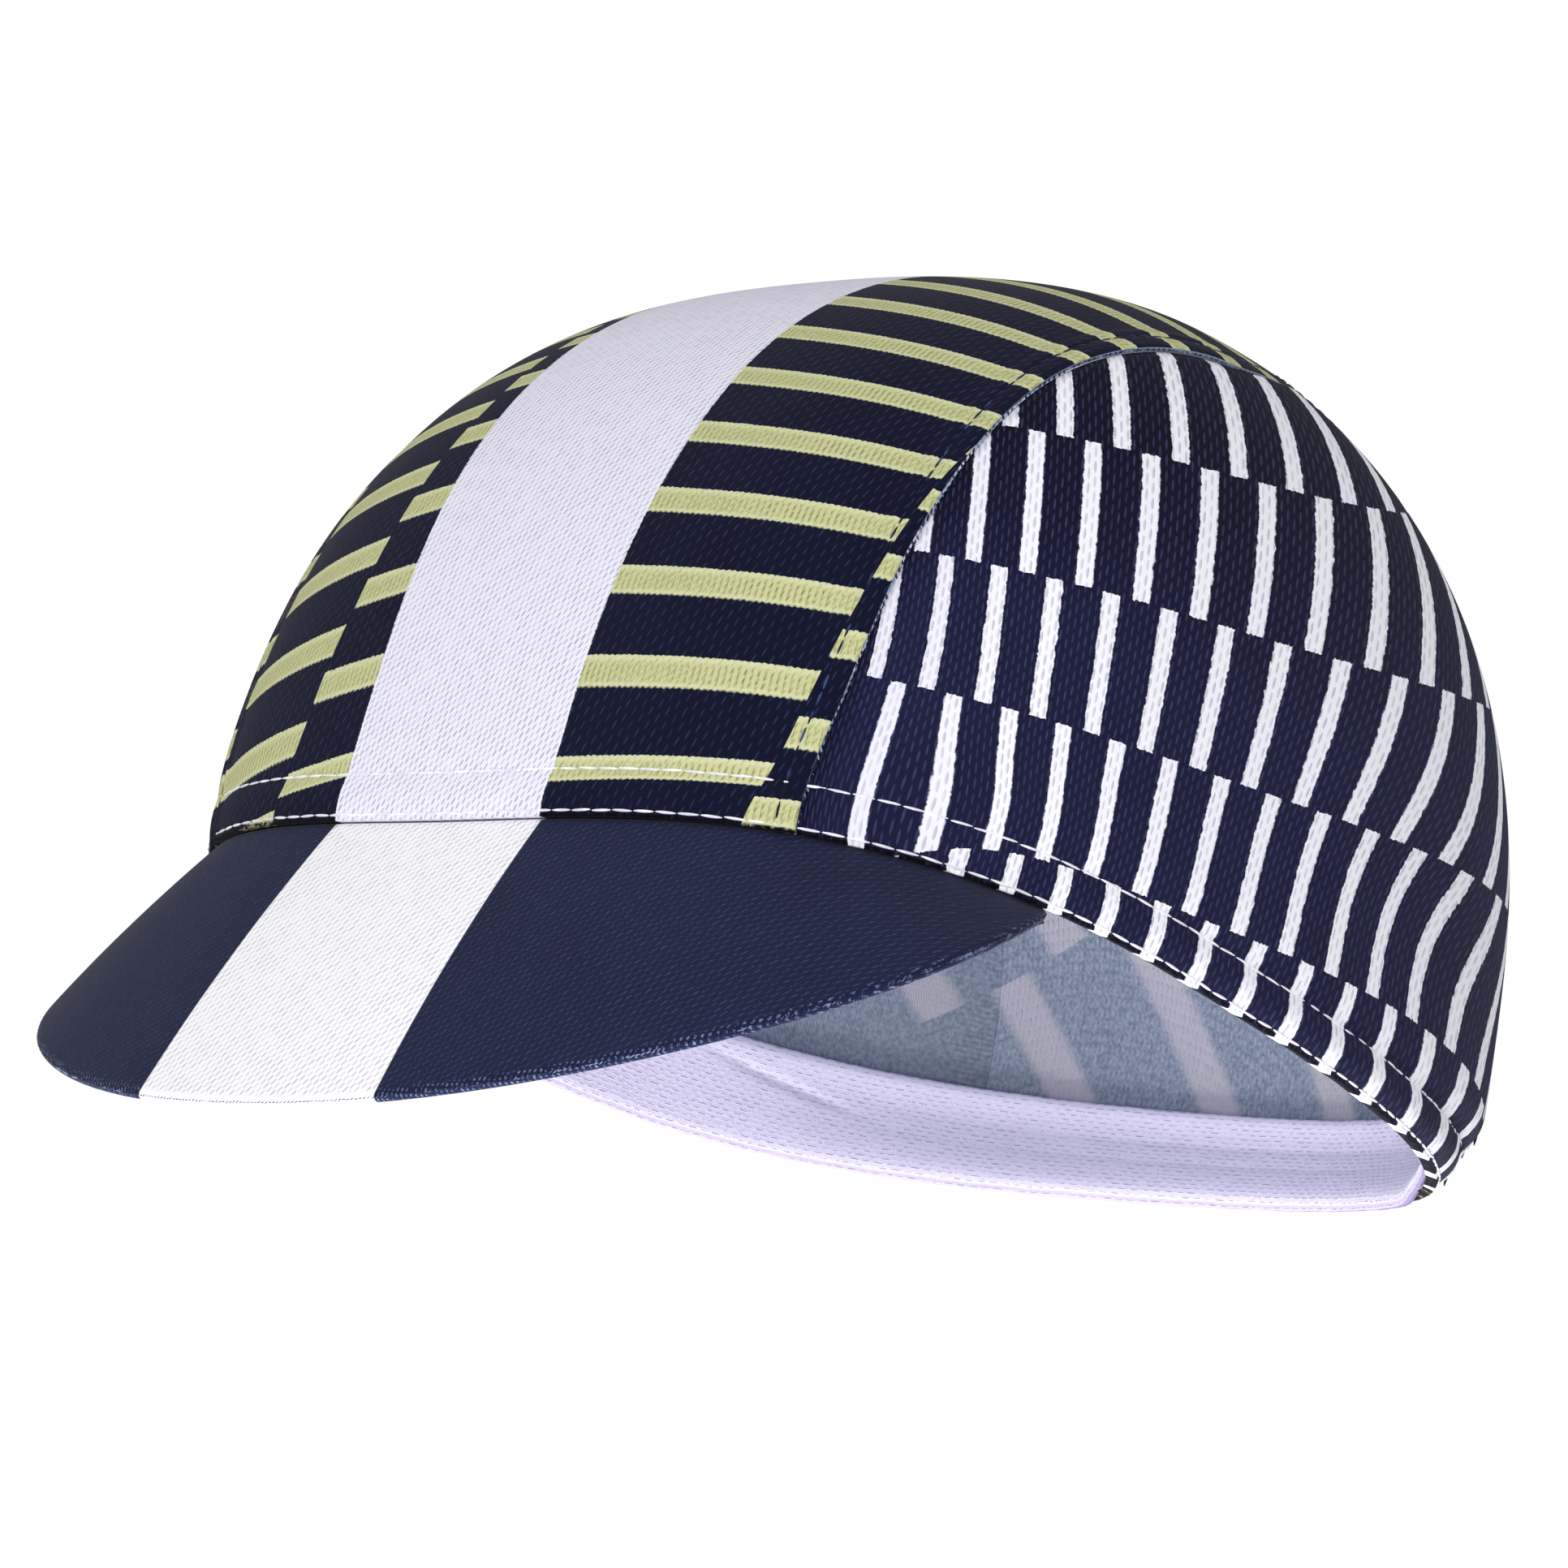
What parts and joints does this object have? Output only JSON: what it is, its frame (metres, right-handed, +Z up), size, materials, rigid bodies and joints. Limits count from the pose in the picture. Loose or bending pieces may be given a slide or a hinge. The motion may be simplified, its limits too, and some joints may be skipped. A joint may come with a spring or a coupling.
{
  "type": "cycling cap",
  "caption": "Soft cycling cap: a panelled crown with a turned hem, an inner sweatband and a short turned-down peak, open below for the head.",
  "frame": {"origin": "middle of the head opening, level with the hem at the wearer's ears", "axes": "+Z up through the crown, -Y towards the peak and the wearer's face, +X towards the wearer's left ear"},
  "size_m": [0.162, 0.2106, 0.1504],
  "materials": {
    "centre_cloth": "printed navy knit mesh, matte",
    "side_cloth": "printed navy knit, matte",
    "band_cloth": "pale lilac knit band, matte",
    "peak_cloth": "navy woven mesh, matte"
  },
  "bodies": {
    "root": {"centre_panel": "centre_cloth", "left_panel": "side_cloth", "right_panel": "side_cloth", "sweatband": "band_cloth", "peak_top": "peak_cloth", "peak_under": "peak_cloth"}
  },
  "joints": []
}
